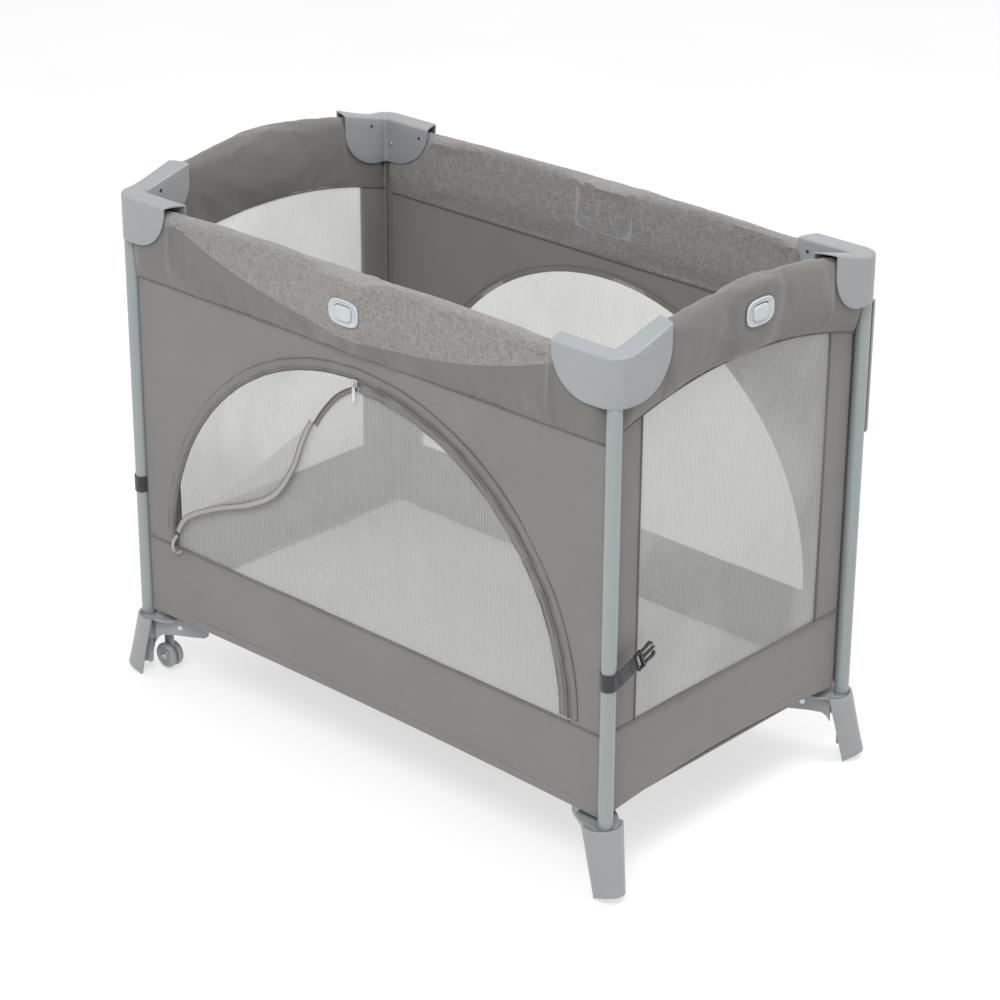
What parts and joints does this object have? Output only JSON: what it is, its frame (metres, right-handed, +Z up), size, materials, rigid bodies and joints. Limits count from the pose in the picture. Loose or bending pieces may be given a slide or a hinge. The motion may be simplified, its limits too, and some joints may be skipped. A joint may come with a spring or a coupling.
{
  "type": "folding playpen",
  "caption": "Folding playpen: corner posts with caps and splayed feet, rails that fold in the middle, fabric walls with mesh windows, a zipped mesh door and a mattress.",
  "frame": {"origin": "on the floor under the middle of the playpen", "axes": "+X along the long side, towards the end without wheels; +Y towards the back, away from the door; +Z up"},
  "size_m": [0.9896, 0.5838, 0.808],
  "materials": {
    "plastic": "satin grey moulded plastic",
    "paint": "satin blue-grey powder coat",
    "steel": "plain rivet steel",
    "cloth": "woven polyester",
    "mesh": "open polyester mesh",
    "pad": "knitted mattress cover",
    "webbing": "black polypropylene webbing",
    "buckle": "black moulded plastic",
    "rubber": "dark hub foot"
  },
  "bodies": {
    "corner_front_right": {"post_front_right": "paint", "cap_front_right": "plastic", "foot_front_right": "plastic", "rivets_front_right": "steel", "strap_right": "webbing", "buckle": "buckle"},
    "corner_front_left": {"post_front_left": "paint", "cap_front_left": "plastic", "foot_front_left": "plastic", "rivets_front_left": "steel", "side_front": "cloth", "door_mesh": "mesh", "zip_slider": "steel", "strap_left": "webbing"},
    "corner_rear_right": {"post_rear_right": "paint", "cap_rear_right": "plastic", "foot_rear_right": "plastic", "rivets_rear_right": "steel", "side_right": "cloth", "rear_post_strip": "plastic"},
    "corner_rear_left": {"post_rear_left": "paint", "cap_rear_left": "plastic", "foot_rear_left": "plastic", "rivets_rear_left": "steel", "side_left": "cloth", "side_back": "cloth"},
    "strut_front_right": {"strut_front_right": "paint"},
    "strut_front_left": {"strut_front_left": "paint"},
    "strut_rear_right": {"strut_rear_right": "paint"},
    "strut_rear_left": {"strut_rear_left": "paint"},
    "hub": {"hub_body": "plastic", "hub_pins": "steel", "hub_foot": "rubber", "pull_strap": "webbing", "floor_panel": "cloth", "mattress": "pad"},
    "rail_front_right": {"rail_front_right": "paint"},
    "rail_front_left": {"rail_front_left": "paint"},
    "rail_back_right": {"rail_back_right": "paint"},
    "rail_back_left": {"rail_back_left": "paint"},
    "rail_left_front": {"rail_left_front": "paint"},
    "rail_left_rear": {"rail_left_rear": "paint"},
    "rail_right_front": {"rail_right_front": "paint"},
    "rail_right_rear": {"rail_right_rear": "paint"},
    "latch_front": {"latch_front": "plastic", "latch_pins_front": "steel"},
    "latch_back": {"latch_back": "plastic", "latch_pins_back": "steel"},
    "latch_left": {"latch_left": "plastic", "latch_pins_left": "steel"},
    "latch_right": {"latch_right": "plastic", "latch_pins_right": "steel"},
    "button_front": {"button_front": "plastic"},
    "button_back": {"button_back": "plastic"},
    "button_left": {"button_left": "plastic"},
    "button_right": {"button_right": "plastic"},
    "wheel_front": {"wheel_front": "plastic"},
    "wheel_rear": {"wheel_rear": "plastic"},
    "zip_pull": {"zip_pull": "steel"}
  },
  "joints": [
    {"name": "fold", "type": "hinge", "parent": "corner_rear_left", "child": "strut_rear_left", "pos_m": [-0.41299, 0.23343, 0.088], "axis": [-0.4921, -0.8706, 0], "range_deg": [0, 77], "deforming": ["side_front", "side_back", "side_left", "side_right", "door_mesh", "floor_panel", "mattress", "zip_slider", "zip_pull"]},
    {"name": "hub_level", "type": "hinge", "parent": "strut_rear_left", "child": "hub", "pos_m": [-0.04527, 0.02559, 0.088], "axis": [-0.4921, -0.8706, 0], "range_deg": [-77, 0]},
    {"name": "strut_front_left_swing", "type": "hinge", "parent": "hub", "child": "strut_front_left", "pos_m": [-0.04527, -0.02559, 0.088], "axis": [0.4921, -0.8706, 0], "range_deg": [0, 77]},
    {"name": "corner_front_left_upright", "type": "hinge", "parent": "strut_front_left", "child": "corner_front_left", "pos_m": [-0.41299, -0.23343, 0.088], "axis": [0.4921, -0.8706, 0], "range_deg": [-77, 0]},
    {"name": "strut_front_right_swing", "type": "hinge", "parent": "hub", "child": "strut_front_right", "pos_m": [0.04527, -0.02559, 0.088], "axis": [0.4921, 0.8706, 0], "range_deg": [0, 77]},
    {"name": "corner_front_right_upright", "type": "hinge", "parent": "strut_front_right", "child": "corner_front_right", "pos_m": [0.41299, -0.23343, 0.088], "axis": [0.4921, 0.8706, 0], "range_deg": [-77, 0]},
    {"name": "strut_rear_right_swing", "type": "hinge", "parent": "hub", "child": "strut_rear_right", "pos_m": [0.04527, 0.02559, 0.088], "axis": [-0.4921, 0.8706, 0], "range_deg": [0, 77]},
    {"name": "corner_rear_right_upright", "type": "hinge", "parent": "strut_rear_right", "child": "corner_rear_right", "pos_m": [0.41299, 0.23343, 0.088], "axis": [-0.4921, 0.8706, 0], "range_deg": [-77, 0]},
    {"name": "rail_front_right_fold", "type": "hinge", "parent": "corner_front_right", "child": "rail_front_right", "pos_m": [0.41, -0.26, 0.75], "axis": [0, -1, 0], "range_deg": [0, 77]},
    {"name": "rail_front_left_fold", "type": "hinge", "parent": "corner_front_left", "child": "rail_front_left", "pos_m": [-0.41, -0.26, 0.75], "axis": [0, 1, 0], "range_deg": [0, 77]},
    {"name": "rail_back_right_fold", "type": "hinge", "parent": "corner_rear_right", "child": "rail_back_right", "pos_m": [0.41, 0.26, 0.75], "axis": [0, -1, 0], "range_deg": [0, 77]},
    {"name": "rail_back_left_fold", "type": "hinge", "parent": "corner_rear_left", "child": "rail_back_left", "pos_m": [-0.41, 0.26, 0.75], "axis": [0, 1, 0], "range_deg": [0, 77]},
    {"name": "rail_left_front_fold", "type": "hinge", "parent": "corner_front_left", "child": "rail_left_front", "pos_m": [-0.46, -0.233, 0.753], "axis": [-1, 0, 0], "range_deg": [0, 77]},
    {"name": "rail_left_rear_fold", "type": "hinge", "parent": "corner_rear_left", "child": "rail_left_rear", "pos_m": [-0.46, 0.233, 0.753], "axis": [1, 0, 0], "range_deg": [0, 77]},
    {"name": "rail_right_front_fold", "type": "hinge", "parent": "corner_front_right", "child": "rail_right_front", "pos_m": [0.46, -0.233, 0.753], "axis": [-1, 0, 0], "range_deg": [0, 77]},
    {"name": "rail_right_rear_fold", "type": "hinge", "parent": "corner_rear_right", "child": "rail_right_rear", "pos_m": [0.46, 0.233, 0.753], "axis": [1, 0, 0], "range_deg": [0, 77]},
    {"name": "latch_front_level", "type": "hinge", "parent": "rail_front_left", "child": "latch_front", "pos_m": [-0.04228, -0.26, 0.75], "axis": [0, 1, 0], "range_deg": [-77, 0]},
    {"name": "latch_back_level", "type": "hinge", "parent": "rail_back_left", "child": "latch_back", "pos_m": [-0.04228, 0.26, 0.75], "axis": [0, 1, 0], "range_deg": [-77, 0]},
    {"name": "latch_left_level", "type": "hinge", "parent": "rail_left_rear", "child": "latch_left", "pos_m": [-0.46, 0.02516, 0.753], "axis": [1, 0, 0], "range_deg": [-77, 0]},
    {"name": "latch_right_level", "type": "hinge", "parent": "rail_right_rear", "child": "latch_right", "pos_m": [0.46, 0.02516, 0.753], "axis": [1, 0, 0], "range_deg": [-77, 0]},
    {"name": "press_front", "type": "slide", "parent": "latch_front", "child": "button_front", "axis": [0, 1, 0], "range_m": [0, 0.004], "stiffness_N_per_m": 500, "springref_m": -0.002},
    {"name": "press_back", "type": "slide", "parent": "latch_back", "child": "button_back", "axis": [0, -1, 0], "range_m": [0, 0.004], "stiffness_N_per_m": 500, "springref_m": -0.002},
    {"name": "press_left", "type": "slide", "parent": "latch_left", "child": "button_left", "axis": [1, 0, 0], "range_m": [0, 0.004], "stiffness_N_per_m": 500, "springref_m": -0.002},
    {"name": "press_right", "type": "slide", "parent": "latch_right", "child": "button_right", "axis": [-1, 0, 0], "range_m": [0, 0.004], "stiffness_N_per_m": 500, "springref_m": -0.002},
    {"name": "wheel_front_spin", "type": "hinge", "parent": "corner_front_left", "child": "wheel_front", "pos_m": [-0.444, -0.236, 0.025], "axis": [0, 1, 0], "continuous": true},
    {"name": "wheel_rear_spin", "type": "hinge", "parent": "corner_rear_left", "child": "wheel_rear", "pos_m": [-0.444, 0.236, 0.025], "axis": [0, 1, 0], "continuous": true},
    {"name": "zip_pull_swing", "type": "hinge", "parent": "corner_front_left", "child": "zip_pull", "pos_m": [0.004, -0.268, 0.609], "axis": [0, 1, 0], "range_deg": [-70, 70]}
  ],
  "couplings": [
    {"joint": "hub_level", "follows": "fold", "ratio": -1},
    {"joint": "strut_front_left_swing", "follows": "fold", "ratio": 1},
    {"joint": "corner_front_left_upright", "follows": "fold", "ratio": -1},
    {"joint": "strut_front_right_swing", "follows": "fold", "ratio": 1},
    {"joint": "corner_front_right_upright", "follows": "fold", "ratio": -1},
    {"joint": "strut_rear_right_swing", "follows": "fold", "ratio": 1},
    {"joint": "corner_rear_right_upright", "follows": "fold", "ratio": -1},
    {"joint": "rail_front_right_fold", "follows": "fold", "ratio": 1},
    {"joint": "rail_front_left_fold", "follows": "fold", "ratio": 1},
    {"joint": "rail_back_right_fold", "follows": "fold", "ratio": 1},
    {"joint": "rail_back_left_fold", "follows": "fold", "ratio": 1},
    {"joint": "rail_left_front_fold", "follows": "fold", "ratio": 1},
    {"joint": "rail_left_rear_fold", "follows": "fold", "ratio": 1},
    {"joint": "rail_right_front_fold", "follows": "fold", "ratio": 1},
    {"joint": "rail_right_rear_fold", "follows": "fold", "ratio": 1},
    {"joint": "latch_front_level", "follows": "fold", "ratio": -1},
    {"joint": "latch_back_level", "follows": "fold", "ratio": -1},
    {"joint": "latch_left_level", "follows": "fold", "ratio": -1},
    {"joint": "latch_right_level", "follows": "fold", "ratio": -1}
  ]
}
